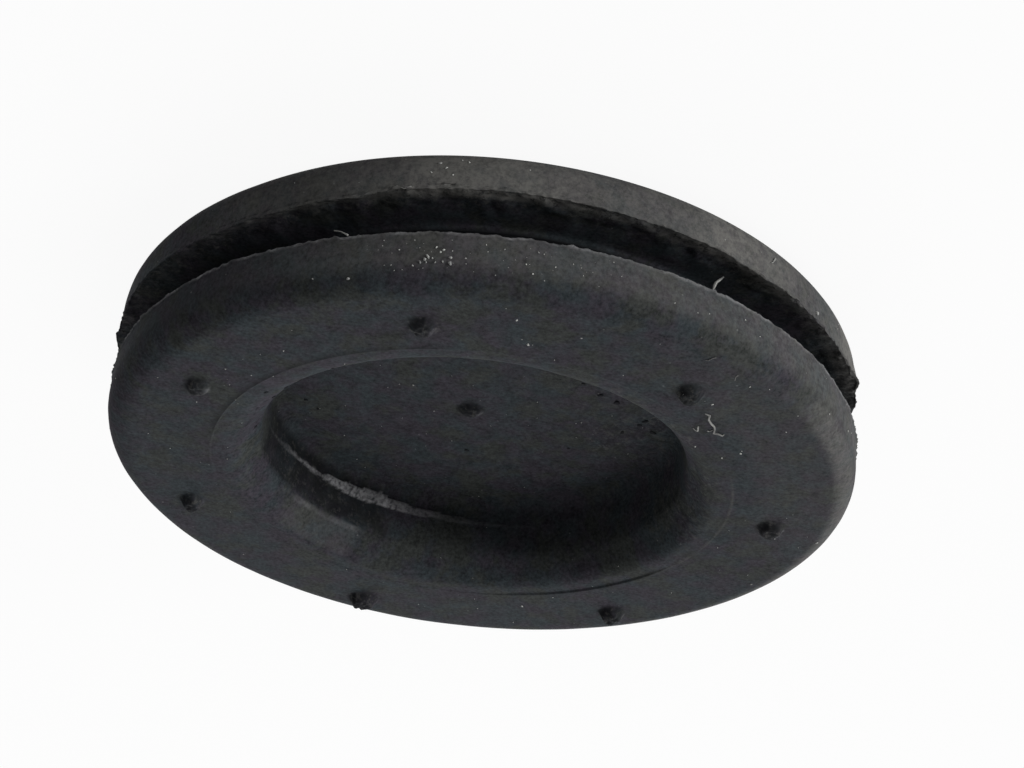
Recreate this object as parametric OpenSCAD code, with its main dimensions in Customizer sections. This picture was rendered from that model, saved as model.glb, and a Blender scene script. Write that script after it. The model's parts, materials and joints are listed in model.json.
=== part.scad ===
// Closed rubber grommet, moulded in one piece: two round flanges with a panel groove between them,
// a recess in each side, and a membrane across the middle that keeps the panel hole shut.
// Millimetres. The origin is the centre of the back face, and +Z points out of the front.

/* [Panel hole] */
// Diameter of the hole that the grommet closes, and of the groove's floor
hole_d = 25; // [20:0.5:40]
// Width of the groove, which takes the panel's thickness
groove_w = 1.85; // [1:0.05:4]

/* [Flanges] */
// How far the front flange reaches past the edge of the hole
front_overhang = 2.45; // [1.95:0.05:4]
// How far the rear flange reaches past the edge of the hole
rear_overhang = 2.4; // [1.5:0.05:4]
// Thickness of the front flange
front_t = 2.05; // [1.65:0.05:4]
// Thickness of the rear flange
rear_t = 2; // [1.6:0.1:4]
// Radius of the rounded outer edge of both flanges
edge_r = 1.1; // [0.3:0.1:1.5]

/* [Recesses] */
// Thickness of rubber between the groove's floor and the mouth of the recess wall
neck_wall = 3.9; // [3.2:0.1:5]
// How much further the recess wall stands in at the membrane than at its mouth
wall_draft = 0.25; // [0.05:0.05:0.5]
// Width of the sloping lip round the front recess
lip_w = 0.85; // [0.3:0.05:1.2]
// Depth of that lip
lip_depth = 1; // [0.3:0.1:1.5]
// Width and depth of the bevelled lip round the back recess
back_lip = 0.5; // [0.2:0.1:0.7]
// Depth of the front recess, from the front face to the membrane
recess_depth = 3.4; // [1.7:0.1:4.2]
// Thickness of the membrane
membrane_t = 1; // [0.5:0.1:1.9]
// Distance that the front recess sits off the flanges' centre, along X
recess_shift = 0.3; // [0:0.1:0.4]

/* [Ledge] */
// Width of the sunk ledge between the front lip and the front face
ledge_w = 1; // [0.4:0.1:1.4]
// Depth that the ledge is sunk
ledge_depth = 0.1; // [0.05:0.05:0.2]

/* [Vent nubs] */
// Bearings of the nubs on the front face, in degrees
nub_bearings = [21, 72, 123, 176, 231, 282, 333]; // [0:1:359]
// Distance from each of those nubs' centres out to where the flange's edge starts to round
nub_insets = [1.7, 0.9, 0.9, 1.5, 2, 1.9, 1.8]; // [0.8:0.1:2.2]
// Distance that the nubs' circle sits off the flanges' centre, along X
nub_shift = 0.3; // [0:0.1:0.4]
// Distance that the nub on the membrane sits off the flanges' centre, along X
centre_nub_shift = 0.6; // [0:0.1:1]
// Diameter of each nub at its foot
nub_d = 1; // [0.5:0.1:1.2]
// Diameter of each nub at its torn top
nub_top_d = 0.7; // [0.3:0.1:0.8]
// Height of each nub
nub_h = 0.4; // [0.1:0.05:0.6]

/* [Moulding flash] */
// Width of the thin flash along the groove's edges
flash_w = 0.12; // [0.05:0.01:0.3]
// Thickness of that flash
flash_t = 0.15; // [0.05:0.01:0.3]

/* [Hidden] */
$fn = 128;
rubber_colour = [0.19, 0.19, 0.2];
front_d = hole_d + 2 * front_overhang;
rear_d = hole_d + 2 * rear_overhang;
flat_r = front_d / 2 - edge_r;
groove_z = rear_t;
front_z = groove_z + groove_w;
face_z = front_z + front_t;
membrane_z = face_z - recess_depth;
mouth_d = hole_d - 2 * neck_wall;
recess_d = mouth_d - 2 * wall_draft;
ledge_d = mouth_d + 2 * (lip_w + ledge_w);
back_depth = membrane_z - membrane_t;
overlap = 0.5;

// A disc whose edge is rounded at the top
module rounded_disc(d, t, r) {
    rotate_extrude() {
        square([d / 2 - r, t]);
        square([d / 2, t - r]);
        translate([d / 2 - r, t - r]) circle(r);
    }
}

// A thin fin round a flange's groove edge, from z upwards
module flash_ring(d, z) {
    translate([0, 0, z]) difference() {
        cylinder(h = flash_t, d = d + 2 * flash_w);
        translate([0, 0, -overlap]) cylinder(h = flash_t + 2 * overlap, d = d - 2 * overlap);
    }
}

module front_flange() {
    translate([0, 0, front_z]) rounded_disc(front_d, front_t, edge_r);
    flash_ring(front_d, front_z);
}

module rear_flange() {
    translate([0, 0, groove_z]) mirror([0, 0, 1]) rounded_disc(rear_d, rear_t, edge_r);
    flash_ring(rear_d, groove_z - flash_t);
}

module neck() {
    translate([0, 0, groove_z - overlap]) cylinder(h = groove_w + 2 * overlap, d = hole_d);
}

// The space of one recess, with its floor at z = 0 and the outer edge of its lip at z = depth
module recess_space(depth, slope_w, slope_depth) {
    wall_h = depth - slope_depth;
    cylinder(h = wall_h, d1 = recess_d, d2 = mouth_d);
    translate([0, 0, wall_h]) cylinder(h = slope_depth, d1 = mouth_d, d2 = mouth_d + 2 * slope_w);
}

module front_recess() {
    translate([recess_shift, 0, membrane_z]) recess_space(recess_depth - ledge_depth, lip_w, lip_depth);
    translate([recess_shift, 0, face_z - ledge_depth]) cylinder(h = ledge_depth + overlap, d = ledge_d);
}

module back_recess() {
    translate([0, 0, back_depth]) mirror([0, 0, 1]) recess_space(back_depth, back_lip, back_lip);
}

// A vent nub that stands on z = 0
module nub() {
    translate([0, 0, -nub_h]) cylinder(h = nub_h, d = nub_d);
    cylinder(h = nub_h, d1 = nub_d, d2 = nub_top_d);
}

module nubs() {
    for (i = [0:len(nub_bearings) - 1]) {
        reach = flat_r - nub_insets[i];
        translate([nub_shift, 0, face_z]) rotate([0, 0, nub_bearings[i]]) translate([reach, 0, 0]) nub();
    }
    translate([centre_nub_shift, 0, membrane_z]) nub();
}

module grommet() {
    color(rubber_colour) union() {
        difference() {
            union() {
                rear_flange();
                neck();
                front_flange();
            }
            front_recess();
            back_recess();
        }
        nubs();
    }
}

grommet();
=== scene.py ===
import json
import math
import random
import bmesh
import bpy
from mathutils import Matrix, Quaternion, Vector, noise
from mathutils.bvhtree import BVHTree


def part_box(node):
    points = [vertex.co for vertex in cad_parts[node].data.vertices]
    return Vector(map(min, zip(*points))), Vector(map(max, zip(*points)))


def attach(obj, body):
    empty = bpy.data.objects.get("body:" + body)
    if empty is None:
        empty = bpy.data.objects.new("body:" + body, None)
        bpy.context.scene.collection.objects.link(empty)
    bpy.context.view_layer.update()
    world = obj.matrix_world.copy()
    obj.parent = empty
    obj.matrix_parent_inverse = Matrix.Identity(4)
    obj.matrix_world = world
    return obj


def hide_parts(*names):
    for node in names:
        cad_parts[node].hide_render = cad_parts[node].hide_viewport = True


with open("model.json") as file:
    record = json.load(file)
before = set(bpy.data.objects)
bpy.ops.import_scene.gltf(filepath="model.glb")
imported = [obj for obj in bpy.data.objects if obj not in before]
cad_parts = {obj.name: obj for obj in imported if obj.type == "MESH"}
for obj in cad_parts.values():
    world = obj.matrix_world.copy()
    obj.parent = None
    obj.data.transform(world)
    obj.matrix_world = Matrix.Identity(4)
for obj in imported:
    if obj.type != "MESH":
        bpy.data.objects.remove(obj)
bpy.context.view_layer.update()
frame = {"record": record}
mm = 0.001
low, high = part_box("grommet")
mounts = {mount["name"]: mount for mount in frame["record"]["mounts"]}
print("frame loaded")

# The moulding. Heights are above the face it lies on, radii are from its middle.
body = {
    "nubHeight": 0.4 * mm,
    "flashReach": 0.12 * mm,  # how far the flash stands out of a flange
    "flashThickness": 0.15 * mm,
    "rearSmaller": 0.05 * mm,  # the rear flange's radius is this much less
    "rearThickness": 2.0 * mm,
    "rearShift": 0.13 * mm,  # how far the rear flange reaches out on the side of X
    "farthest": 15.06 * mm,
    "edgeRound": 1.1 * mm,
    "grooveFillet": 0.3 * mm,
    "faceInner": 13.5 * mm,  # where the face's mesh meets the rim's finer one
    "ledgeRadius": 10.45 * mm,
    "ledgeSunk": 0.1 * mm,
    "lipRadius": 9.45 * mm,
    "lipDepth": 1.0 * mm,
    "lipRound": 1.0 * mm,
    "mouthRadius": 8.6 * mm,
    "mouthRound": 1.0 * mm,
    "floorRadius": 8.35 * mm,
    "floorFillet": 0.6 * mm,
    "membraneHeight": 2.5 * mm,
    "membraneThickness": 1.0 * mm,
    "backLip": 0.5 * mm,
    "recessShift": 0.3 * mm,  # the front recess sits this far along X
    "rimSteps": 608,
    "faceSteps": 304,
}
frontRadius = high.x - body["flashReach"]
rearRadius = frontRadius - body["rearSmaller"]
faceHeight = high.z - body["nubHeight"]
grooveSize = mounts["panel_groove"]["dims"]
grooveRadius = grooveSize["r_mm"] * mm
grooveLow = body["rearThickness"]
grooveHigh = grooveLow + grooveSize["length_mm"] * mm


def deselectAll():
    if bpy.context.mode != "OBJECT":
        bpy.ops.object.mode_set(mode="OBJECT")
    bpy.ops.object.select_all(action="DESELECT")


def makeActive(piece):
    deselectAll()
    piece.select_set(True)
    bpy.context.view_layer.objects.active = piece


def point(radius, height):
    return Vector((radius, 0, height))


def roundCorner(before, corner, after, radius, parts):
    into = (before - corner).normalized()
    out = (after - corner).normalized()
    half = into.angle(out) / 2
    centre = corner + (into + out).normalized() * radius / math.sin(half)
    start = (corner + into * radius / math.tan(half) - centre).normalized()
    end = (corner + out * radius / math.tan(half) - centre).normalized()
    return [centre + start.slerp(end, step / parts) * radius for step in range(parts + 1)]


def outline(stops):
    # each stop is a place, the radius and parts of its round, and the cuts of the line that leads to it
    corners = []
    for number, (place, radius, parts, cuts) in enumerate(stops):
        if radius:
            corners.append(roundCorner(stops[number - 1][0], place, stops[number + 1][0], radius, parts))
        else:
            corners.append([place])
    points = list(corners[0])
    for (place, radius, parts, cuts), corner in zip(stops[1:], corners[1:]):
        begin = points[-1]
        points += [begin.lerp(corner[0], step / (cuts + 1)) for step in range(1, cuts + 1)]
        points += corner
    return points


def drawLine(name, points):
    deselectAll()
    bpy.ops.mesh.primitive_plane_add(size=mm, location=(0, 0, 0))
    piece = bpy.context.object
    piece.name = name
    bpy.ops.object.mode_set(mode="EDIT")
    bpy.ops.mesh.select_mode(type="VERT")
    bpy.ops.mesh.select_all(action="SELECT")
    bpy.ops.mesh.merge(type="CENTER")
    bpy.ops.transform.translate(value=points[0])
    for here, there in zip(points, points[1:]):
        bpy.ops.mesh.extrude_region_move(TRANSFORM_OT_translate={"value": there - here})
    bpy.ops.mesh.select_all(action="SELECT")
    return piece


def spinOutline(name, points, steps):
    piece = drawLine(name, points)
    bpy.ops.mesh.spin(steps=steps // 8, angle=math.tau / 8, center=(0, 0, 0), axis=(0, 0, 1))
    for turn in (math.tau / 8, math.tau / 4, math.tau / 2):
        # the eighth is doubled three times, which is much quicker than one whole spin
        bpy.ops.mesh.select_all(action="SELECT")
        bpy.ops.mesh.duplicate()
        bpy.ops.transform.rotate(value=turn, orient_axis="Z", center_override=(0, 0, 0))
        bpy.ops.mesh.select_all(action="SELECT")
        bpy.ops.mesh.remove_doubles(threshold=0.001 * mm)
    bpy.ops.object.mode_set(mode="OBJECT")
    return piece


def rimOutline():
    tipHeight = grooveHigh + body["flashThickness"] / 3
    rearTip = grooveLow - body["flashThickness"] / 3
    return outline([
        (point(body["faceInner"] + 0.15 * mm, faceHeight), 0, 0, 0),
        (point(frontRadius, faceHeight), body["edgeRound"], 10, 0),
        (point(frontRadius, grooveHigh + body["flashThickness"]), 0, 0, 4),
        (point(frontRadius + body["flashReach"], tipHeight), 0, 0, 1),
        (point(frontRadius, grooveHigh), 0, 0, 1),
        (point(grooveRadius, grooveHigh), body["grooveFillet"], 2, 4),
        (point(grooveRadius, grooveLow), body["grooveFillet"], 3, 2),
        (point(rearRadius - 1.1 * mm, grooveLow), 0, 0, 2),
        (point(rearRadius, grooveLow), 0, 0, 10),
        (point(rearRadius + body["flashReach"], rearTip), 0, 0, 1),
        (point(rearRadius, grooveLow - body["flashThickness"]), 0, 0, 1),
        (point(rearRadius, 0), body["edgeRound"], 7, 4),
        (point(body["faceInner"], 0), 0, 0, 0),
    ])


def faceOutline():
    floor = body["membraneHeight"]
    ledge = faceHeight - body["ledgeSunk"]
    mouth = faceHeight - body["lipDepth"] - body["ledgeSunk"]
    return outline([
        (point(0, floor), 0, 0, 0),
        (point(body["floorRadius"], floor), body["floorFillet"], 4, 11),
        (point(body["mouthRadius"], mouth), body["mouthRound"], 5, 9),
        (point(body["lipRadius"], ledge), body["lipRound"], 6, 1),
        (point(body["ledgeRadius"] - 0.15 * mm, ledge), 0, 0, 3),
        (point(body["ledgeRadius"] - 0.06 * mm, ledge), 0.03 * mm, 1, 0),
        (point(body["ledgeRadius"], faceHeight), 0.03 * mm, 2, 0),
        (point(body["ledgeRadius"] + 0.09 * mm, faceHeight), 0, 0, 0),
        (point(body["faceInner"], faceHeight), 0, 0, 11),
    ])


def backOutline():
    roof = body["membraneHeight"] - body["membraneThickness"]
    return outline([
        (point(body["faceInner"] - 0.15 * mm, 0), 0, 0, 0),
        (point(body["mouthRadius"] + body["backLip"], 0), 0.15 * mm, 2, 3),
        (point(body["mouthRadius"], body["backLip"]), 0.1 * mm, 2, 1),
        (point(body["floorRadius"], roof), body["floorFillet"] / 2, 3, 1),
        (point(0, roof), 0, 0, 4),
    ])


def shiftRecess(piece):
    # the recess and its ledge sit a little off the flanges' middle
    for vertex in piece.data.vertices:
        radius = math.hypot(vertex.co.x, vertex.co.y)
        fade = (radius - body["ledgeRadius"]) / (body["faceInner"] - body["ledgeRadius"])
        vertex.co.x += body["recessShift"] * (1 - max(0, fade))


def bridgeGap(mesh, above):
    bpy.ops.mesh.select_all(action="DESELECT")
    for edge in mesh.edges:
        if edge.is_boundary and (edge.verts[0].co.z > faceHeight / 2) == above:
            edge.select_set(True)
    bpy.ops.mesh.bridge_edge_loops()


def mouldBody():
    rim = spinOutline("rubber_grommet", rimOutline(), body["rimSteps"])
    face = spinOutline("face", faceOutline(), body["faceSteps"])
    shiftRecess(face)
    back = spinOutline("back", backOutline(), body["faceSteps"])
    makeActive(rim)
    face.select_set(True)
    back.select_set(True)
    bpy.ops.object.join()
    bpy.ops.object.mode_set(mode="EDIT")
    bpy.ops.mesh.select_mode(type="EDGE")
    mesh = bmesh.from_edit_mesh(rim.data)
    bridgeGap(mesh, True)
    bridgeGap(mesh, False)
    bpy.ops.mesh.select_all(action="SELECT")
    bpy.ops.mesh.normals_make_consistent(inside=False)
    bpy.ops.object.mode_set(mode="OBJECT")
    bpy.ops.object.shade_smooth()
    return rim


def smooth(share):
    share = min(1, max(0, share))
    return share * share * (3 - 2 * share)


def within(value, low, high, soft):
    # 1 from low to high, easing to 0 over soft outside them
    return smooth((value - low) / soft + 1) * smooth((high - value) / soft + 1)


def lumps(place, size, seed):
    # soft noise from about -1 to 1, with lumps about that size
    return noise.noise(place / size + Vector((seed, seed / 3, -seed)))


def roughLumps(place, size, seed):
    return noise.fractal(place / size + Vector((seed, -seed, seed / 3)), 0.8, 2.1, 4)


def bearingOf(place, shift=0):
    return math.degrees(math.atan2(place.y, place.x - shift)) % 360


def atBearing(bearing, radius, shift=0):
    around = math.radians(bearing)
    return Vector((radius * math.cos(around) + shift, radius * math.sin(around), 0))


def apart(bearing, other):
    # how many degrees lie between two bearings
    return abs((bearing - other + 180) % 360 - 180)


# Vent nubs, the pips that were torn off when the moulding left its mould. Each has its bearing, how far
# out it stands, its height, its width along X and Y, and how strong a painted highlight on its top is.
nubs = {
    "shift": 0.3 * mm,
    "places": [
        (21, 12.15, 0.4, 0.85, 1.2, 0),
        (72, 12.95, 0.4, 1.15, 1.2, 0.1),
        (123, 12.95, 0.4, 1.05, 1.1, 0.3),
        (176, 12.35, 0.34, 1.0, 1.1, 0.9),
        (231, 11.85, 0.33, 0.95, 1.1, 0),
        (282, 11.95, 0.24, 0.9, 1.15, 0.4),
        (333, 12.05, 0.24, 0.85, 1.05, 0.8),
    ],
    "centre": (Vector((0.6, 0, 2.5)) * mm, 0.22, 0.95, 0.9, 0.9),
    "level": 0.3 * mm,  # how far from its foot a nub reaches, up or down and around
    "around": 0.9 * mm,
    "finer": 0.85 * mm,  # and how far around it the mesh is made finer
    "ragged": 0.13,
    "side": 0.27 * mm,
    "torn": (0.86, 0.22),  # the share of the height that is left, and how much it varies
    "least": 0.4,
    "most": 1.04,
    "lean": 0.15,
    # how dark the torn top and its painted shadow get, and how strong the painted highlight on the tag is
    "darkest": 0.92,
    "crumbly": 0.7,
    "tagHighlight": 0.28,
}


def nubPlaces():
    places = []
    for bearing, radius, height, wide, deep, pale in nubs["places"]:
        foot = atBearing(bearing, radius * mm, nubs["shift"])
        foot.z = faceHeight
        places.append((foot, height * mm, wide * mm, deep * mm, pale))
    foot, height, wide, deep, pale = nubs["centre"]
    places.append((foot, height * mm, wide * mm, deep * mm, pale))
    return places


nubFeet = nubPlaces()


def nearNub(middle):
    if middle.z < body["membraneHeight"] - 0.1 * mm:
        return False
    for foot, *rest in nubFeet:
        if abs(middle.z - foot.z) < nubs["level"] and (middle - foot).xy.length < nubs["finer"]:
            return True
    return False


def raiseNubs(vertex, marks):
    for foot, height, wide, deep, pale in nubFeet:
        offset = vertex.co - foot
        if abs(offset.z) > nubs["level"] or offset.xy.length > nubs["around"]:
            continue
        place = vertex.co.copy()
        reach = Vector((offset.x * 2 / wide, offset.y * 2 / deep)).length
        reach *= 1 + nubs["ragged"] * lumps(place, 0.4 * mm, 3)
        inside = (1 - reach) * wide / 2
        side = smooth(inside / nubs["side"] + 0.3)
        torn = nubs["torn"][0] + nubs["torn"][1] * roughLumps(place, 0.25 * mm, 8)
        rise = height * side * min(nubs["most"], max(nubs["least"], torn))
        vertex.co.z += rise
        vertex.co.y += nubs["lean"] * rise
        # the torn top is darker than the dusty face, and a painted shadow darkens it and the face round its
        # foot, most on the near side and the side of +X; a painted highlight lies as a pale tag on its far
        # right
        darkTopAndShadow = smooth(inside / (0.34 * mm) + 0.85) * (0.62 + 0.3 * smooth(inside / (0.2 * mm) - 0.3))
        darkTopAndShadow *= 1 + 0.8 * lumps(place, 0.16 * mm, 9)
        darkTopAndShadow *= min(1.25, max(0.45, 0.85 + 0.7 * (offset.x / wide - 0.8 * offset.y / deep)))
        darkTopAndShadow = min(nubs["darkest"], darkTopAndShadow)
        tag = smooth(1.4 - (offset - Vector((-0.4 * wide, 0.04 * deep, 0))).xy.length / (0.17 * mm))
        tag *= pale * min(1, max(0, 0.7 + 0.9 * lumps(place, 0.12 * mm, 10)))
        marks["darkerAndShade"] = max(marks["darkerAndShade"], darkTopAndShadow) * (1 - tag)
        marks["crumbly"] = max(marks["crumbly"], nubs["crumbly"] * smooth(inside / (0.26 * mm) + 1))
        marks["paleAndHighlight"] = max(marks["paleAndHighlight"], nubs["tagHighlight"] * tag)


# The torn film along the recess wall, pale, with a painted highlight on it too. Each stop is a bearing, the
# height of the film's edge, its width and how white it is.
film = {
    "stops": [
        (8, 3.62, 0.04, 0.03), (14, 3.6, 0.06, 0.1), (22, 3.5, 0.2, 0.12), (31, 3.42, 0.14, 0.5),
        (38, 3.44, 0.16, 0.7), (42, 3.42, 0.12, 0.3), (45, 3.5, 0.36, 0.85), (51, 3.53, 0.42, 0.85),
        (56, 3.57, 0.5, 0.85), (60, 3.53, 0.54, 0.7), (63, 3.5, 0.48, 0.8), (66, 3.48, 0.44, 0.9),
        (70, 3.5, 0.42, 0.65), (74, 3.5, 0.34, 0.4), (80, 3.42, 0.26, 0.3), (88, 3.46, 0.2, 0.16),
        (96, 3.5, 0.12, 0.12), (115, 3.6, 0.05, 0),
    ],
    "radii": (7.9 * mm, 8.8 * mm),
    "heights": (2.8 * mm, 3.8 * mm),
    "proud": 0.06 * mm,
    "soft": 0.04 * mm,
    "cracks": 0.8,
}


def filmAt(bearing):
    stops = film["stops"]
    for (begin, *here), (end, *there) in zip(stops, stops[1:]):
        if begin <= bearing <= end:
            share = (bearing - begin) / (end - begin)
            return [value + share * (other - value) for value, other in zip(here, there)]
    return None


def nearFilm(middle):
    radius = (middle.xy - Vector((body["recessShift"], 0))).length
    (inner, outer), (bottom, top) = film["radii"], film["heights"]
    onWall = inner < radius < outer and bottom < middle.z < top
    return onWall and film["stops"][0][0] < bearingOf(middle, body["recessShift"]) < film["stops"][-1][0]


def tearFilm(vertex, marks):
    place = vertex.co - Vector((body["recessShift"], 0, 0))
    if not nearFilm(vertex.co):
        return
    height, width, white = filmAt(bearingOf(place))
    top = (height + 0.025 * lumps(place, 0.7 * mm, 5) + 0.015 * lumps(place, 0.2 * mm, 6)) * mm
    deep = width * (1 + 0.25 * lumps(place, 0.35 * mm, 7)) * mm
    strip = within(place.z, top - deep, top, film["soft"])
    inward = Vector((-place.x, -place.y, 0)).normalized()
    proud = film["proud"] * min(1, width * 2.5) * (1 + 0.5 * roughLumps(place, 0.2 * mm, 2))
    vertex.co += inward * proud * strip
    cracked = 1 - film["cracks"] * smooth(roughLumps(place, 0.18 * mm, 77) * 4 - 1.1)
    # the film is pale, and carries a painted highlight as well
    marks["paleAndHighlight"] = max(marks["paleAndHighlight"], strip * white * cracked)


# Painted shade on part of the wall, and a painted highlight line and painted light on the band above it:
# from, to and how softly it ends, as bearings and as heights.
wall = {
    "radii": (8 * mm, 9.8 * mm),
    "bottom": 2.7 * mm,
    "shaded": (12, 60, 11),
    "shadedHeights": (2.9 * mm, 4.62 * mm, 0.2 * mm),
    "crumbly": 0.5,
    "highlightBearings": (36, 57, 4),
    "highlightHeights": (4.82 * mm, 4.92 * mm, 0.08 * mm),
    "highlightPale": 0.3,
    "litBandHeights": (4.85 * mm, 5.76 * mm, 0.1 * mm),
    "bandLight": 0.14,
}


def shadeWall(vertex, marks):
    place = vertex.co - Vector((body["recessShift"], 0, 0))
    radius = place.xy.length
    if not wall["radii"][0] < radius < wall["radii"][1] or place.z < wall["bottom"]:
        return
    bearing = bearingOf(place)
    shaded = within(bearing, *wall["shaded"]) * within(place.z, *wall["shadedHeights"])
    # painted shade on this part of the wall
    marks["darkerAndShade"] = max(marks["darkerAndShade"], shaded * (0.68 + 0.4 * lumps(place, 0.6 * mm, 81)))
    marks["crumbly"] = max(marks["crumbly"], wall["crumbly"] * shaded)
    # a painted highlight line, and painted light on the band above it
    highlightBearings = within(bearing, *wall["highlightBearings"])
    highlightLine = within(place.z, *wall["highlightHeights"]) * (0.5 + 0.6 * lumps(place, 0.5 * mm, 83))
    marks["paleAndHighlight"] = max(marks["paleAndHighlight"], wall["highlightPale"] * highlightBearings * highlightLine)
    marks["dustyAndLit"] = max(marks["dustyAndLit"], wall["bandLight"] * highlightBearings * within(place.z, *wall["litBandHeights"]))


# The recess's lip: where it and the membrane are crumbly, and where small bites are out of it.
lip = {
    "crumbly": (165, 235, 25),
    "crumblyRadii": (5 * mm, 9.4 * mm, 1.5 * mm),
    "crumbs": 0.6,
    "radii": (8.8 * mm, 9.7 * mm),
    "above": 5 * mm,
    "bearings": (292, 350),
    "bitten": (300, 342, 6),
    "bittenRadii": (9.0 * mm, 9.25 * mm, 0.15 * mm),
    "biteDepth": 0.12 * mm,
    "biteDark": 0.6,
}


def nearLip(middle):
    radius = (middle.xy - Vector((body["recessShift"], 0))).length
    if not lip["radii"][0] < radius < lip["radii"][1] or middle.z <= lip["above"]:
        return False
    return lip["bearings"][0] < bearingOf(middle, body["recessShift"]) < lip["bearings"][1]


def chipLip(vertex, marks):
    place = vertex.co - Vector((body["recessShift"], 0, 0))
    crumbly = within(bearingOf(place), *lip["crumbly"]) * within(place.xy.length, *lip["crumblyRadii"])
    if place.z > body["membraneHeight"] - 0.2 * mm:
        marks["crumbly"] = max(marks["crumbly"], lip["crumbs"] * crumbly * (1 + lumps(place, 2 * mm, 91)))
    if not nearLip(vertex.co):
        return
    share = within(bearingOf(place), *lip["bitten"])
    bite = smooth((lumps(Vector((place.x, place.y, 0)), 0.3 * mm, 4) - 0.3) * 4) * share
    inside = within(place.xy.length, *lip["bittenRadii"])
    vertex.co.z -= lip["biteDepth"] * bite * inside
    marks["darkerAndShade"] = max(marks["darkerAndShade"], lip["biteDark"] * bite * inside)


# The ledge's edge: bearings between which it is sharp, with its depth there beside its full depth and how
# softly that ends, and where it slopes, where painted shade darkens its crease and where a painted highlight
# lies on it.
ledge = {
    "sharp": [(108, 140, 0.7, 12), (262, 345, 0.8, 12)],
    "faint": 0.15,
    "inner": (8.9 * mm, 0.9 * mm),  # where the ledge starts, and over how much
    "slope": 0.13,
    "sloping": (225, 350, 25),
    # painted shade in the creases
    "creaseShades": [(96, 142, 0.3, 8, 10.43), (284, 345, 1, 10, 10.47)],
    "creaseWide": 0.04,
    "creaseSoft": 0.06,
    # a painted highlight on the ledge's lit side
    "pale": (146, 192, 8),
    "highlightRadii": (10.42, 10.48, 0.06),
    "highlightStrength": 0.3,
}


def softenLedge(vertex, marks):
    place = vertex.co - Vector((body["recessShift"], 0, 0))
    radius = place.xy.length
    if vertex.co.z < faceHeight - 0.9 * mm or radius > body["ledgeRadius"] + 0.4 * mm:
        return
    bearing = bearingOf(place)
    depth = ledge["faint"]
    for begin, end, share, soft in ledge["sharp"]:
        depth = max(depth, share * within(bearing, begin, end, soft))
    depth *= 1 + 0.25 * lumps(place, 1.5 * mm, 51)
    below = min(1, max(0, (faceHeight - place.z) / body["ledgeSunk"]))
    inner = smooth((radius - ledge["inner"][0]) / ledge["inner"][1])
    vertex.co.z += (1 - depth) * body["ledgeSunk"] * below * inner
    slope = ledge["slope"] * within(bearing, *ledge["sloping"])
    vertex.co.z -= slope * max(0, body["ledgeRadius"] - radius) * inner
    ragged = 0.75 + 0.5 * lumps(place, 0.5 * mm, 53)
    # painted shade in the crease, and a painted highlight on the step's lit side
    for begin, end, share, soft, middle in ledge["creaseShades"]:
        creaseShade = within(radius / mm, middle, middle + ledge["creaseWide"], ledge["creaseSoft"])
        creaseShade *= within(bearing, begin, end, soft)
        marks["darkerAndShade"] = max(marks["darkerAndShade"], share * creaseShade * ragged)
    pale = within(radius / mm, *ledge["highlightRadii"]) * within(bearing, *ledge["pale"])
    marks["dustyAndLit"] = max(marks["dustyAndLit"], ledge["highlightStrength"] * pale * ragged)


# Flash, the thin fin along both edges of the groove. Its longer tags have a bearing, a reach in flash
# widths and half a width in degrees.
flash = {
    "front": [(294, 1.1, 1.0), (241, 0.9, 0.8), (263, 0.7, 1.6), (311, 0.8, 1.2), (278, 0.5, 2)],
    "rear": [(354, 1.5, 3.2), (199.5, 0.3, 3), (286, 0.7, 2.2), (216, 0.8, 1.2)],
    "raised": [(294, 323, 0.17), (205, 233, 0.12)],  # where the rear flange's edge stands up into the groove
    "raisedSoft": 8,
    "waves": (0.06, 0.055),  # long and short waves of the edge, in millimetres
    "wavier": (198, 228, 5),
    "torn": (0.3, 0.45, 0.45),  # the share of the fin that is left, and how much it varies slowly and quickly
    "least": 0.02,
    "most": 0.9,
    "bend": 0.05 * mm,
    # the painted highlight along the front flange's flash edge
    "pale": 0.7,
    "finer": 0.28 * mm,  # the mesh is made finer this near the edge, out from here and up to this Y
    "outside": 14.7 * mm,
    "nearSide": 1.5 * mm,
}


def onFlash(place, deep):
    radius = place.xy.length
    isFront = place.z > grooveLow + 1 * mm
    flange, middle = (frontRadius, grooveHigh) if isFront else (rearRadius, grooveLow)
    return radius > flange - deep and abs(place.z - middle) < deep


def nearFlash(middle):
    isOut = onFlash(middle, flash["finer"]) and middle.xy.length > flash["outside"]
    return isOut and middle.y < flash["nearSide"]


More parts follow.
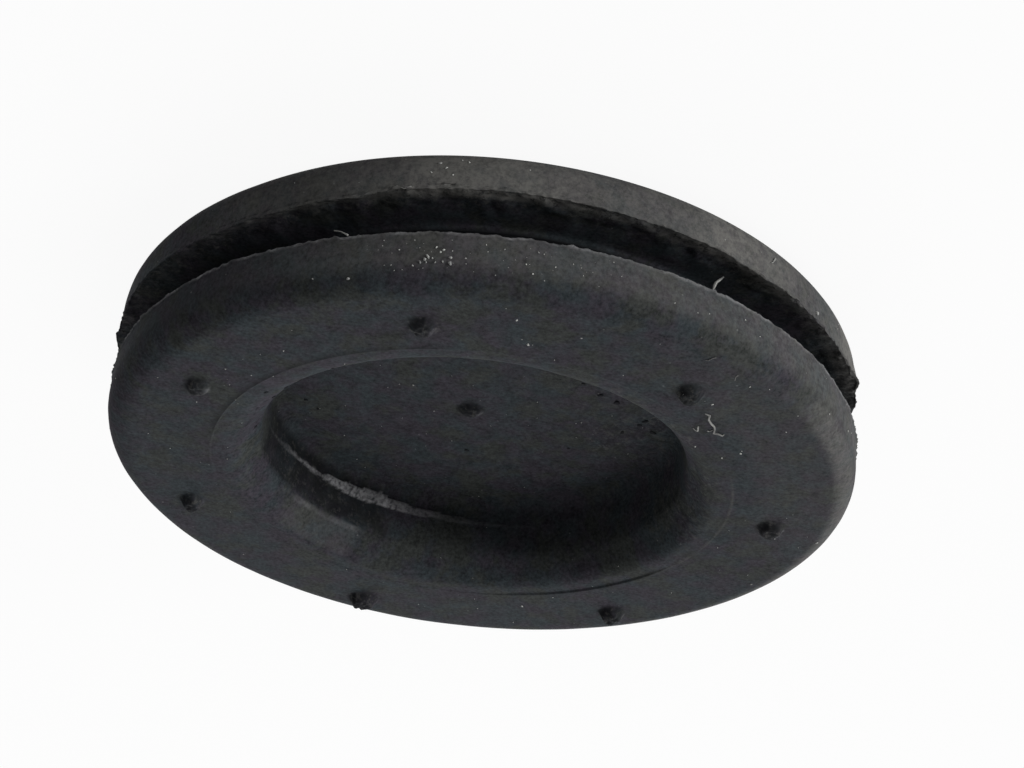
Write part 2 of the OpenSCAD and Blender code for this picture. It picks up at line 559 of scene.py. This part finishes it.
def ragFlash(vertex, marks):
    if not onFlash(vertex.co, 0.6 * mm):
        return
    place = vertex.co.copy()
    isFront = place.z > grooveLow + 1 * mm
    flange, middle = (frontRadius, grooveHigh) if isFront else (rearRadius, grooveLow)
    around = Vector((place.x, place.y, 0))
    outward = around.normalized()
    bearing = bearingOf(place)
    seed = 11 if isFront else 23
    edge = smooth(1 - (flange - around.length) / (0.5 * mm))
    edge *= smooth(1.2 - abs(place.z - middle) / (0.45 * mm))
    long, short = flash["waves"]
    wave = long * lumps(around, 1.5 * mm, seed) + short * roughLumps(around, 0.28 * mm, seed + 1)
    if not isFront:
        wave *= 0.6 + 0.9 * within(bearing, *flash["wavier"])
        for begin, end, height in flash["raised"]:
            ease = within(bearing, begin, end, flash["raisedSoft"])
            wave += height * ease * (1 + 0.25 * lumps(around, 2.2 * mm, 71))
    vertex.co.z += wave * mm * edge
    # the fin is torn to uneven widths
    fin = min(1, (around.length - flange) / body["flashReach"])
    if fin > 0.02:
        left, slow, quick = flash["torn"]
        torn = left + slow * lumps(around, 0.8 * mm, seed + 2)
        torn += quick * roughLumps(around, 0.22 * mm, seed + 3)
        reach = min(flash["most"], max(flash["least"], torn))
        for tag, extra, width in flash["front" if isFront else "rear"]:
            reach += extra * smooth(1 - apart(bearing, tag) / width)
        vertex.co += outward * body["flashReach"] * fin * (reach - 1)
        vertex.co.z += flash["bend"] * fin * lumps(around, 0.25 * mm, seed + 4)
    # a painted highlight along the front flange's flash edge
    if isFront and around.length > flange - 0.05 * mm:
        highlightLine = smooth(1.3 - abs(place.z - middle - 0.03 * mm) / (0.09 * mm))
        pale = 0.45 + 0.6 * lumps(around, 0.6 * mm, seed + 5)
        marks["paleAndHighlight"] = max(marks["paleAndHighlight"], flash["pale"] * highlightLine * max(0, pale))


# The rear flange's face in the groove is rough, most so near the rim, and worn pale there, with painted
# light on that pale part too; painted shade darkens one stretch of it.
groove = {
    "rougher": (186, 214, 8),
    "dustyAndLit": 0.2,
    "dustierAndLit": (206, 234, 8),
    # painted shade on this stretch
    "darkerAndShade": (296, 322, 10),
    "crumbly": 0.9,
    "rough": (0.07, 0.025, 0.03),  # slow and quick lumps and how far it has sunk, in millimetres
    "neck": 11.5 * mm,
}


def roughenGroove(vertex, marks):
    radius = vertex.co.xy.length
    if abs(vertex.co.z - grooveLow) > 0.15 * mm or radius < grooveRadius or radius > rearRadius + 0.02 * mm:
        return
    place = vertex.co.copy()
    strength = 0.25 + 0.75 * smooth((radius - 13.4 * mm) / (0.6 * mm))
    bearing = bearingOf(place)
    strength *= 1 + 0.7 * within(bearing, *groove["rougher"])
    # worn pale, with painted light on the lit strip near the rim
    wornAndLit = smooth((radius - 13.9 * mm) / (0.9 * mm)) * smooth(0.5 + 1.6 * roughLumps(place, 0.35 * mm, 37))
    dustierAndLit = groove["dustyAndLit"] + 0.35 * within(bearing, *groove["dustierAndLit"])
    marks["dustyAndLit"] = max(marks["dustyAndLit"], wornAndLit * dustierAndLit)
    # painted shade on one stretch of the groove's face
    marks["darkerAndShade"] = max(marks["darkerAndShade"], 0.25 * within(bearing, *groove["darkerAndShade"]))
    marks["crumbly"] = groove["crumbly"] * smooth((radius - 13.6 * mm) / (0.5 * mm))
    slow, quick, sunk = groove["rough"]
    rough = slow * roughLumps(place, 0.75 * mm, 31) + quick * lumps(place, 0.25 * mm, 33) - sunk
    vertex.co.z += rough * strength * mm


# The rear flange's rim is worn away at one end, with a knob beside it: bearings from and to, how softly
# each ends, and how much is lost or stands out.
tear = {
    "near": (165, 220),
    "lost": (178, 189, 4),
    "inward": 0.24 * mm,
    "knob": (195.5, 3, 208, 8),
    "outward": 0.14 * mm,
    "dark": (186, 207, 4),
    "darkerAndShade": 0.6,
}


def tearCorner(vertex, marks):
    place = vertex.co
    if place.z > grooveHigh - 0.3 * mm or place.xy.length < 14.0 * mm or place.z < 0.3 * mm:
        return
    bearing = bearingOf(place)
    if not tear["near"][0] < bearing < tear["near"][1]:
        return
    ragged = 1 + 0.3 * roughLumps(place, 0.4 * mm, 61)
    dark = within(bearing, *tear["dark"]) * smooth((place.z - 1.75 * mm) / (0.2 * mm))
    marks["darkerAndShade"] = max(marks["darkerAndShade"], tear["darkerAndShade"] * dark)
    lost = within(bearing, *tear["lost"]) * smooth((place.z - 0.4 * mm) / (0.7 * mm))
    lost *= smooth((place.xy.length - 14.0 * mm) / (0.7 * mm))
    begin, rise, end, fall = tear["knob"]
    knob = smooth((bearing - begin) / rise) * smooth((end - bearing) / fall)
    knob *= smooth((place.z - 1.1 * mm) / (0.6 * mm)) * smooth((place.xy.length - 14.3 * mm) / (0.5 * mm))
    outward = Vector((place.x, place.y, 0)).normalized()
    vertex.co += outward * (tear["outward"] * knob - tear["inward"] * lost * ragged)


def darkenGroove(vertex, marks):
    # hardly any light gets in between the flanges, so the neck and their inner faces are darkest
    inGroove = groove["neck"] < vertex.co.xy.length < frontRadius - 0.3 * mm
    if inGroove and grooveLow + 0.1 * mm < vertex.co.z < grooveHigh - 0.02 * mm:
        marks["darkerAndShade"] = 1


def wander(vertex, normal):
    # nothing moulded in rubber is quite flat or quite round, and the rear flange is a little wide on one side
    soft = 0.016 * lumps(vertex.co, 4.5 * mm, 41) + 0.007 * lumps(vertex.co, 1.4 * mm, 43)
    if vertex.co.z > 0.3 * mm:
        vertex.co += normal * soft * mm
    if vertex.co.z < grooveLow + 0.2 * mm:
        vertex.co.x += body["rearShift"] * smooth((vertex.co.x - 8 * mm) / (6 * mm))
    vertex.co.x = min(body["farthest"], max(-body["farthest"], vertex.co.x))
    vertex.co.y = min(body["farthest"], max(-body["farthest"], vertex.co.y))
    vertex.co.z = min(high.z, vertex.co.z)


# Bloom, a dusty haze together with painted light, lies on both flanges' rims: stops of bearing and how thick
# it is there. The dark stops are painted shade on the front rim.
bloomAndLight = {
    "rear": [
        (150, 0.1), (180, 0.2), (190, 0.35), (204, 0.9), (213, 0.4), (220, 0.38), (229, 0.66), (239, 0.8),
        (248, 0.48), (256, 0.52), (270, 0.78), (280, 0.86), (290, 0.52), (305, 0.36), (325, 0.03), (360, 0),
    ],
    "front": [
        (100, 0.05), (140, 0.14), (170, 0.3), (180, 0.4), (196, 0.36), (215, 0.3), (235, 0.28), (255, 0.28),
        (275, 0.3), (290, 0.28), (305, 0.12), (320, 0.02), (360, 0),
    ],
    # painted shade on the front rim, by bearing
    "dark": [(300, 0), (315, 0.35), (328, 0.45), (340, 0.2), (350, 0)],
    "crumbly": 0.35,
    "edge": (116, 210, 14),  # painted light on the face's edge and outer part too: from, to and how softly it ends
    "edgeLight": 0.46,
    "face": (182, 226, 26),
    "faceLight": 0.095,
    "inner": 13.6 * mm,
}


def along(stops, bearing):
    # the value at a bearing, between two stops
    value = 0
    for (begin, here), (end, there) in zip(stops, stops[1:]):
        if begin <= bearing <= end:
            value = here + (there - here) * smooth((bearing - begin) / (end - begin))
    return value


def paintRimBloomAndLight(vertex, marks):
    place = vertex.co
    radius = place.xy.length
    bearing = bearingOf(place)
    if place.z > faceHeight - 0.3 * mm:
        outer = smooth((radius - 10.6 * mm) / (1.2 * mm))
        # painted light on the face's outer part
        marks["dustyAndLit"] = bloomAndLight["faceLight"] * within(bearing, *bloomAndLight["face"]) * outer
    if radius < bloomAndLight["inner"]:
        return
    if place.z < grooveLow + 0.1 * mm:
        rim = smooth((radius - 14.2 * mm) / (0.4 * mm)) * smooth((place.z - 0.1 * mm) / (0.4 * mm))
        marks["dustyAndLit"] = along(bloomAndLight["rear"], bearing) * rim
        marks["crumbly"] = bloomAndLight["crumbly"] * rim
    elif place.z > grooveHigh - 0.05 * mm:
        rim = smooth((radius - 14.0 * mm) / (0.5 * mm)) * smooth((5.6 * mm - place.z) / (0.7 * mm))
        edge = within(bearing, *bloomAndLight["edge"]) * smooth((radius - 13.9 * mm) / (0.5 * mm))
        edge *= smooth((place.z - 5 * mm) / (0.4 * mm))
        marks["dustyAndLit"] = max(marks["dustyAndLit"], along(bloomAndLight["front"], bearing) * rim, bloomAndLight["edgeLight"] * edge)
        # painted shade on the front rim
        marks["darkerAndShade"] = along(bloomAndLight["dark"], bearing) * rim


def refine(piece, wanted, cuts):
    makeActive(piece)
    bpy.ops.object.mode_set(mode="EDIT")
    bpy.ops.mesh.select_mode(type="FACE")
    bpy.ops.mesh.select_all(action="DESELECT")
    mesh = bmesh.from_edit_mesh(piece.data)
    for face in mesh.faces:
        if wanted(face.calc_center_median()):
            face.select_set(True)
    bpy.ops.mesh.subdivide(number_cuts=cuts)
    bpy.ops.object.mode_set(mode="OBJECT")


def paint(piece, name, values):
    attribute = piece.data.attributes.new(name, "FLOAT", "POINT")
    attribute.data.foreach_set("value", values)


def wear(piece):
    refine(piece, nearNub, 4)
    refine(piece, nearFilm, 1)
    refine(piece, nearLip, 1)
    refine(piece, nearFlash, 1)
    painted = {name: [] for name in ("darkerAndShade", "paleAndHighlight", "dustyAndLit", "crumbly")}
    normals = [vertex.normal.copy() for vertex in piece.data.vertices]
    for vertex, normal in zip(piece.data.vertices, normals):
        marks = {name: 0 for name in painted}
        paintRimBloomAndLight(vertex, marks)
        softenLedge(vertex, marks)
        roughenGroove(vertex, marks)
        tearCorner(vertex, marks)
        darkenGroove(vertex, marks)
        ragFlash(vertex, marks)
        shadeWall(vertex, marks)
        tearFilm(vertex, marks)
        chipLip(vertex, marks)
        raiseNubs(vertex, marks)
        wander(vertex, normal)
        for name, mark in marks.items():
            painted[name].append(min(1, max(0, mark)))
    for name, values in painted.items():
        paint(piece, name, values)
    piece.data.update()


class Wire:
    # a socket that can be used in sums
    def __init__(self, finish, socket):
        self.finish = finish
        self.socket = socket

    def maths(self, operation, *others):
        return self.finish.node("Math", {"operation": operation}, dict(enumerate((self,) + others)))

    def __add__(self, other):
        return self.maths("ADD", other)

    def __sub__(self, other):
        return self.maths("SUBTRACT", other)

    def __rsub__(self, other):
        return self.finish.node("Math", {"operation": "SUBTRACT"}, {0: other, 1: self})

    def __mul__(self, other):
        return self.maths("MULTIPLY", other)

    __radd__ = __add__
    __rmul__ = __mul__

    def step(self, begin, end):
        # 0 at begin and 1 at end, eased between them
        values = {"Value": self, "From Min": begin, "From Max": end}
        return self.finish.node("MapRange", {"interpolation_type": "SMOOTHSTEP"}, values)


class Finish:
    def __init__(self, tree):
        self.tree = tree
        tree.nodes.clear()

    def node(self, kind, settings=None, values=None, output=0):
        made = self.tree.nodes.new("ShaderNode" + kind)
        for name, setting in (settings or {}).items():
            setattr(made, name, setting)
        for name, value in (values or {}).items():
            if isinstance(value, Wire):
                self.tree.links.new(value.socket, made.inputs[name])
            else:
                made.inputs[name].default_value = value
        return Wire(self, made.outputs[output] if made.outputs else None)

    def mix(self, factor, colour, other):
        values = {"Factor": factor, 6: colour, 7: other}
        return self.node("Mix", {"data_type": "RGBA"}, values, output=2)

    def noise(self, place, scale, detail=2, roughness=0.5):
        values = {"Vector": place, "Scale": scale, "Detail": detail, "Roughness": roughness}
        return self.node("TexNoise", {}, values)

    def painted(self, name):
        return self.node("Attribute", {"attribute_name": name}, {}, output=2)


def newMaterial(name):
    material = bpy.data.materials.new(name)
    material.use_nodes = True
    return material, Finish(material.node_tree)


# The rubber's colours: three that its patches wander between, the dusty bloom that also paints light on the
# rims, a dark colour for dark rubber and for painted shade, torn pale skin that also paints highlights, and
# specks of dust.
rubber = {
    "cool": (0.0290, 0.0352, 0.0392, 1),
    "warm": (0.0352, 0.0324, 0.0400, 1),
    "olive": (0.0330, 0.0356, 0.0342, 1),
    "bloomAndLight": (0.128, 0.125, 0.118, 1),
    "dark": (0.0096, 0.0102, 0.0114, 1),
    "skinAndHighlight": (0.3, 0.3, 0.31, 1),
    "speck": (0.3, 0.3, 0.29, 1),
    "roughness": 0.66,
    "specular": 0.01,
    "deep": 0.42,  # painted shade: how much darker still the groove's depth is
    "bump": 0.3,
    "bumpDepth": 0.02 * mm,
}


def rubberFinish():
    material, finish = newMaterial("rubber")
    place = finish.node("TexCoord", {}, {}, output=3)
    # patches a little greener or redder, mottle and grain that are lighter or darker
    patches = finish.noise(place, 700, 4, 0.65)
    mottle = finish.noise(place, 1700, 4, 0.7)
    grain = finish.noise(place, 7000, 3, 0.7)
    colour = finish.mix(patches.step(0.38, 0.62), rubber["warm"], rubber["cool"])
    colour = finish.mix(finish.noise(place, 520, 4, 0.7).step(0.47, 0.62), colour, rubber["olive"])
    lightness = 1 + 0.35 * (patches - 0.5) + 1.3 * (mottle - 0.5) + 2.2 * (grain - 0.5)
    colour = finish.node("VectorMath", {"operation": "SCALE"}, {0: colour, "Scale": lightness})
    # the dust bloom, and painted light on the rims, the face's edge, the ledge, the lip and the groove
    haze = finish.noise(place, 2600, 5, 0.8).step(0.28, 0.72) * 0.9 + 0.55
    bloomedAndLit = finish.painted("dustyAndLit") * haze * (1 + 1.2 * (grain - 0.5))
    colour = finish.mix(bloomedAndLit, colour, rubber["bloomAndLight"])
    # dark rubber, and painted shade in the groove, the creases, on the wall and beside the nubs
    darkerAndShade = finish.painted("darkerAndShade")
    colour = finish.mix(darkerAndShade, colour, rubber["dark"])
    # painted shade: the groove's depth is darker still
    deep = 1 - rubber["deep"] * darkerAndShade.step(0.95, 1)
    colour = finish.node("VectorMath", {"operation": "SCALE"}, {0: colour, "Scale": deep})
    crumbly = finish.painted("crumbly")
    flecks = finish.noise(place, 3400, 4, 0.75)
    colour = finish.mix(crumbly * flecks.step(0.52, 0.62) * 0.7, colour, rubber["dark"])
    colour = finish.mix(crumbly * (1 - flecks.step(0.36, 0.47)) * 0.35, colour, rubber["bloomAndLight"])
    # pale torn film, and painted highlights on the film, the flash edge, the lip and the nubs
    paleAndHighlight = finish.painted("paleAndHighlight")
    streaks = finish.noise(place, 6000, 3, 0.6).step(0.3, 0.65)
    colour = finish.mix(paleAndHighlight * (0.35 + 0.65 * streaks), colour, rubber["skinAndHighlight"])
    # specks of dust too small to model
    cells = finish.node("TexVoronoi", {}, {"Vector": place, "Scale": 2300})
    shade = finish.node("SeparateColor", {}, {0: Wire(finish, cells.socket.node.outputs["Color"])})
    specks = shade.step(0.9, 0.94) * (1 - cells.step(0.05, 0.11))
    colour = finish.mix(specks * 0.22, colour, rubber["speck"])
    roughness = rubber["roughness"] + 0.16 * (mottle - 0.5) - 0.1 * paleAndHighlight
    height = grain * 0.7 + mottle * 1.2 + finish.noise(place, 22000, 2) * 0.3
    values = {"Strength": rubber["bump"], "Distance": rubber["bumpDepth"], "Height": height}
    bump = finish.node("Bump", {}, values)
    shader = finish.node("BsdfPrincipled", {}, {
        "Base Color": colour,
        "Roughness": roughness,
        "Normal": bump,
        "Specular IOR Level": rubber["specular"],
    })
    finish.node("OutputMaterial", {}, {"Surface": shader})
    return material


rubberGrommet = mouldBody()
print("body moulded:", len(rubberGrommet.data.polygons), "faces")
wear(rubberGrommet)
rubberGrommet.data.materials.append(rubberFinish())
print("body worn:", sum(len(face.vertices) - 2 for face in rubberGrommet.data.polygons), "triangles")
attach(rubberGrommet, "root")
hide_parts("grommet")

# Dust: the larger specks by place, in millimetres and degrees, then fine ones at random.
dust = {
    "rim": [  # bearing, height, size
        (285, 4.6, 0.08), (281, 4.9, 0.15), (280, 4.5, 0.08), (279, 4.6, 0.09), (278, 4.9, 0.16),
        (278, 5.1, 0.14), (280, 5.1, 0.09), (282, 5.1, 0.12), (283, 5.2, 0.08), (276, 4.9, 0.08),
        (271, 4.4, 0.07), (268, 4.9, 0.08), (281.4, 5.0, 0.13), (280.4, 4.95, 0.09), (279.4, 4.7, 0.09),
        (279, 5.05, 0.1), (281.2, 5.1, 0.09), (267, 5.2, 0.07), (247, 5.0, 0.08), (235, 4.4, 0.08),
        (281, 0.9, 0.12), (282, 1.3, 0.08), (280, 1.1, 0.09), (279, 1.4, 0.08), (277, 0.8, 0.09),
        (278, 0.7, 0.07), (218, 1.8, 0.22), (204, 4.9, 0.07),
    ],
    "face": [  # radius, bearing, size
        (11.8, 311, 0.11), (14.7, 292, 0.12), (11.4, 265, 0.12), (12.9, 268, 0.08), (12.5, 257, 0.09),
        (11.5, 104, 0.12), (9.5, 213, 0.09), (11.0, 208, 0.12), (10.2, 207, 0.08), (11.8, 227, 0.09),
        (13.7, 228, 0.07), (13.2, 213, 0.08), (14.2, 173, 0.11), (13.7, 153, 0.12), (3.4, 333, 0.11),
    ],
    "fine": 240,
    "fineSize": (0.02, 0.055),
    "thickOnRim": (255, 290),
    "rimHeights": (4.1, 5.4),
    "elsewhere": (0.5, 4.1),  # where the rims' bands start, each 1.3 mm high
    "band": 1.3,
    "faceRadius": 14.4,
    "heights": (0.4, 0.7),
    "pale": (0.52, 0.53, 0.50, 1),
    "grey": (0.2, 0.2, 0.2, 1),
    "seed": 7,
}


def bodyTree():
    mesh = rubberGrommet.data
    places = [vertex.co for vertex in mesh.vertices]
    return BVHTree.FromPolygons(places, [face.vertices for face in mesh.polygons])


def onFace(radius, bearing):
    return tree.ray_cast(atBearing(bearing, radius * mm) + Vector((0, 0, 20 * mm)), Vector((0, 0, -1)))[:2]


def onRim(bearing, height):
    start = atBearing(bearing, 20 * mm) + Vector((0, 0, height * mm))
    return tree.ray_cast(start, atBearing(bearing, -1))[:2]


def modelSpeck(divisions):
    deselectAll()
    bpy.ops.mesh.primitive_ico_sphere_add(subdivisions=divisions, radius=0.5)
    speck = bpy.context.object
    for vertex in speck.data.vertices:
        vertex.co *= 1 + 0.5 * noise.noise(vertex.co * 3)
    bpy.ops.object.shade_smooth()
    return speck


def scatter(name, speck, places, heights, chance):
    # each place is a point, the surface's normal there and a size in millimetres
    copies = []
    for place, normal, size in places:
        copy = speck.copy()
        copy.data = speck.data.copy()
        bpy.context.collection.objects.link(copy)
        turn = normal.to_track_quat("Z", "Y") @ Quaternion((0, 0, 1), chance.uniform(0, math.tau))
        copy.rotation_euler = turn.to_euler()
        stretch = Vector((chance.uniform(0.7, 1.5), chance.uniform(0.6, 1), chance.uniform(*heights)))
        copy.scale = stretch * size * mm
        copy.location = place + normal * size * heights[0] * 0.375 * mm  # each sits a little sunk
        copies.append(copy)
    deselectAll()
    for copy in copies:
        copy.select_set(True)
    piece = copies[0]
    piece.name = name
    bpy.context.view_layer.objects.active = piece
    bpy.ops.object.transform_apply(location=True, rotation=True, scale=True)
    bpy.ops.object.join()
    return piece


def dustPlaces(chance):
    places = [(*onRim(bearing, height), size) for bearing, height, size in dust["rim"]]
    places += [(*onFace(radius, bearing), size) for radius, bearing, size in dust["face"]]
    for number in range(dust["fine"]):
        size = chance.uniform(*dust["fineSize"])
        if number % 4 == 0:
            bearing = chance.uniform(*dust["thickOnRim"])
            places.append((*onRim(bearing, chance.uniform(*dust["rimHeights"])), size))
        elif number % 4 == 1:
            bearing = chance.uniform(0, 360)
            height = chance.choice(dust["elsewhere"]) + chance.random() * dust["band"]
            places.append((*onRim(bearing, height), size))
        else:
            radius = math.sqrt(chance.uniform(0, dust["faceRadius"] ** 2))
            places.append((*onFace(radius, chance.uniform(0, 360)), size))
    return places


# Lint and slivers, as lines of places in millimetres with half their thickness.
lint = {
    "onFace": [
        (0.03, [(-7.9, -7.9), (-8.1, -7.8), (-8.1, -7.5), (-8.25, -7.2), (-8.4, -7.0), (-8.45, -6.8),
                (-8.45, -6.5), (-8.6, -6.5), (-8.8, -6.4), (-8.85, -6.5)]),
        (0.025, [(-8.4, -6.75), (-8.25, -6.6), (-8.2, -6.65)]),
        (0.028, [(-7.65, -6.7), (-7.75, -6.55), (-7.85, -6.55), (-7.8, -6.9)]),
        (0.02, [(-8.55, -10.5), (-8.55, -10.8), (-8.6, -10.9)]),
        (0.02, [(-7.3, -11.7), (-7.4, -11.7), (-7.5, -11.85), (-7.65, -11.9)]),
    ],
    "onRim": [
        (0.05, [(230, 1.3), (229.6, 1.2), (229.2, 1.0)]),
        (0.03, [(286.5, 1.9), (285.5, 1.98), (284.5, 1.92)]),
    ],
    "lift": 0.02 * mm,
    "pale": (0.23, 0.23, 0.22, 1),
    "grey": (0.08, 0.08, 0.08, 1),
    # a sliver of flash hangs from the front flange across the groove: bearing, radius and height
    "sliver": (0.045, [(241, 14.97, 3.83), (240.6, 14.9, 3.6), (240.1, 14.82, 3.35), (239.4, 14.8, 3.15),
                       (238.7, 14.78, 2.93)]),
    "tag": (0.04, [(294.7, 14.95, 3.55), (293.6, 14.99, 3.66), (292.5, 14.97, 3.84)]),
}


def layFibre(points, half):
    fibre = drawLine("fibre", points)
    bpy.ops.object.mode_set(mode="OBJECT")
    bpy.ops.object.modifier_add(type="SKIN")
    for number, vertex in enumerate(fibre.data.skin_vertices[0].data):
        thin = 0.5 if number in (0, len(points) - 1) else 1
        vertex.radius = (half * thin * mm, half * 0.7 * thin * mm)
    bpy.ops.object.modifier_apply(modifier=fibre.modifiers[0].name)
    bpy.ops.object.shade_smooth()
    return fibre


def layLint():
    lines = []
    for half, places in lint["onFace"]:
        settled = [onFace(math.hypot(x, y), math.degrees(math.atan2(y, x))) for x, y in places]
        lines.append((half, [place + normal * lint["lift"] for place, normal in settled]))
    for half, places in lint["onRim"]:
        settled = [onRim(bearing, height) for bearing, height in places]
        lines.append((half, [place + normal * lint["lift"] for place, normal in settled]))
    for name in ("sliver", "tag"):
        half, places = lint[name]
        points = []
        for bearing, radius, height in places:
            points.append(atBearing(bearing, radius * mm) + Vector((0, 0, height * mm)))
        lines.append((half, points))
    fibres = [layFibre(points, half) for half, points in lines]
    makeActive(fibres[0])
    for fibre in fibres[1:]:
        fibre.select_set(True)
    bpy.ops.object.join()
    fibres[0].name = "lint"
    return fibres[0]


def dustFinish(name, grey, pale):
    material, finish = newMaterial(name)
    place = finish.node("TexCoord", {}, {}, output=3)
    shade = finish.noise(place, 900, 2).step(0.35, 0.6)
    colour = finish.mix(shade, grey, pale)
    roughness = 0.8 + 0.2 * (finish.noise(place, 9000, 2) - 0.5)
    values = {"Base Color": colour, "Roughness": roughness, "Specular IOR Level": 0.2}
    shader = finish.node("BsdfPrincipled", {}, values)
    finish.node("OutputMaterial", {}, {"Surface": shader})
    return material


# Dark crumbs on the membrane and the lip: radius and bearing about the recess, and size.
crumbs = {
    "places": [
        (3.5, 86, 0.2), (5.8, 200, 0.3), (5.3, 207, 0.24), (5.1, 219, 0.18), (6.8, 186, 0.24),
        (6.6, 183, 0.2), (7.2, 179, 0.24), (6.0, 176, 0.2), (4.6, 150, 0.14), (9.0, 246, 0.14),
        (7.1, 6, 0.2), (6.7, 12, 0.16), (9.7, 327, 0.18), (9.1, 319, 0.2), (9.2, 324, 0.18),
        (8.8, 352, 0.18), (9.0, 332, 0.2), (9.4, 307, 0.14),
    ],
    "shift": 0.3,  # as far as the recess
    "heights": (0.16, 0.26),
    "darkerAndShade": 0.75,
    "seed": 12,
}


def crumbPlaces():
    places = []
    for radius, bearing, size in crumbs["places"]:
        foot = atBearing(bearing, radius, crumbs["shift"])
        places.append((*onFace(foot.length, bearingOf(foot)), size))
    return places


tree = bodyTree()
speck = modelSpeck(1)
dustChance = random.Random(dust["seed"])
dustPiece = scatter("dust", speck, dustPlaces(dustChance), dust["heights"], dustChance)
lintPiece = layLint()
crumb = modelSpeck(2)
crumbPiece = scatter("crumbs", crumb, crumbPlaces(), crumbs["heights"], random.Random(crumbs["seed"]))
bpy.data.objects.remove(speck)
bpy.data.objects.remove(crumb)
paint(crumbPiece, "darkerAndShade", [crumbs["darkerAndShade"]] * len(crumbPiece.data.vertices))
dustPiece.data.materials.append(dustFinish("dust", dust["grey"], dust["pale"]))
lintPiece.data.materials.append(dustFinish("lint", lint["grey"], lint["pale"]))
crumbPiece.data.materials.append(rubberGrommet.data.materials[0])
for piece in (dustPiece, lintPiece, crumbPiece):
    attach(piece, "root")
print("dust laid:", len(dustPiece.data.polygons), "faces")

# The camera: bearing, height and roll in degrees, aimed at a point near the middle.
camera = {
    "azimuth": 2.06,
    "elevation": 29.92,
    "roll": 174.41,
    "distance": 87.97 * mm,
    "lens": 76,
    "aim": Vector((-0.94, -0.865, 1.557)) * mm,
}


def backwards(azimuth, elevation):
    around, up = math.radians(azimuth), math.radians(elevation)
    return Vector((math.sin(around) * math.cos(up), -math.cos(around) * math.cos(up), math.sin(up)))


def placeCamera():
    back = backwards(camera["azimuth"], camera["elevation"])
    turn = (-back).to_track_quat("-Z", "Y") @ Quaternion((0, 0, 1), -math.radians(camera["roll"]))
    deselectAll()
    bpy.ops.object.camera_add(location=camera["aim"] + back * camera["distance"], rotation=turn.to_euler())
    eye = bpy.context.object
    eye.name = "camera"
    eye.data.sensor_width = 36
    eye.data.lens = camera["lens"]
    eye.data.clip_start = 5 * mm
    eye.data.clip_end = 5
    bpy.context.scene.camera = eye


# Soft round lamps: bearing, height above the floor in degrees, width and power in watts.
lamps = {
    "distance": 0.5,
    "places": {
        "farLow": (180, 12, 0.35, 0.63),
        "far": (180, 35, 0.35, 0.81),
        "farRight": (225, 35, 0.35, 0.61),
        "above": (240, 60, 0.35, 0.43),
        "left": (60, 60, 0.35, 0.16),
        "nearRight": (300, 5, 0.16, 2.6),
    },
}


def placeLamps():
    for name, (azimuth, elevation, width, power) in lamps["places"].items():
        back = backwards(azimuth, elevation)
        turn = back.to_track_quat("Z", "Y")
        deselectAll()
        bpy.ops.object.light_add(type="AREA", location=back * lamps["distance"], rotation=turn.to_euler())
        lamp = bpy.context.object
        lamp.name = name
        lamp.data.shape = "DISK"
        lamp.data.size = width
        lamp.data.energy = power


# The floor's colour, how white it is made where it is seen directly, and the light from all round.
studio = {"floorColour": (0.8, 0.8, 0.8, 1), "white": 0.93, "ambient": 0.2}


def seenDirectly(finish):
    # 1 where the eye, or a mirror or glass, looks at the backdrop
    rays = finish.node("LightPath", {}, {}).socket.node.outputs
    names = ("Is Camera Ray", "Is Glossy Ray", "Is Transmission Ray")
    eye, glossy, through = (Wire(finish, rays[name]) for name in names)
    return eye.maths("MAXIMUM", glossy).maths("MAXIMUM", through)


def layFloor():
    deselectAll()
    bpy.ops.mesh.primitive_plane_add(size=4, location=(0, 0, low.z - 0.01 * mm))
    floor = bpy.context.object
    floor.name = "floor"
    material, finish = newMaterial("floor")
    matt = finish.node("BsdfDiffuse", {}, {"Color": studio["floorColour"]})
    white = finish.node("Emission", {}, {"Color": (1, 1, 1, 1), "Strength": 1})
    shader = finish.node("MixShader", {}, {0: seenDirectly(finish) * studio["white"], 1: matt, 2: white})
    finish.node("OutputMaterial", {}, {"Surface": shader})
    floor.data.materials.append(material)


def lightWorld():
    world = bpy.data.worlds.new("studio")
    world.use_nodes = True
    finish = Finish(world.node_tree)
    strength = studio["ambient"] + seenDirectly(finish) * (1 - studio["ambient"])
    shader = finish.node("Background", {}, {"Color": (1, 1, 1, 1), "Strength": strength})
    finish.node("OutputWorld", {}, {"Surface": shader})
    bpy.context.scene.world = world


placeCamera()
placeLamps()
layFloor()
lightWorld()
bpy.context.scene.view_settings.view_transform = "Standard"
print("studio ready")
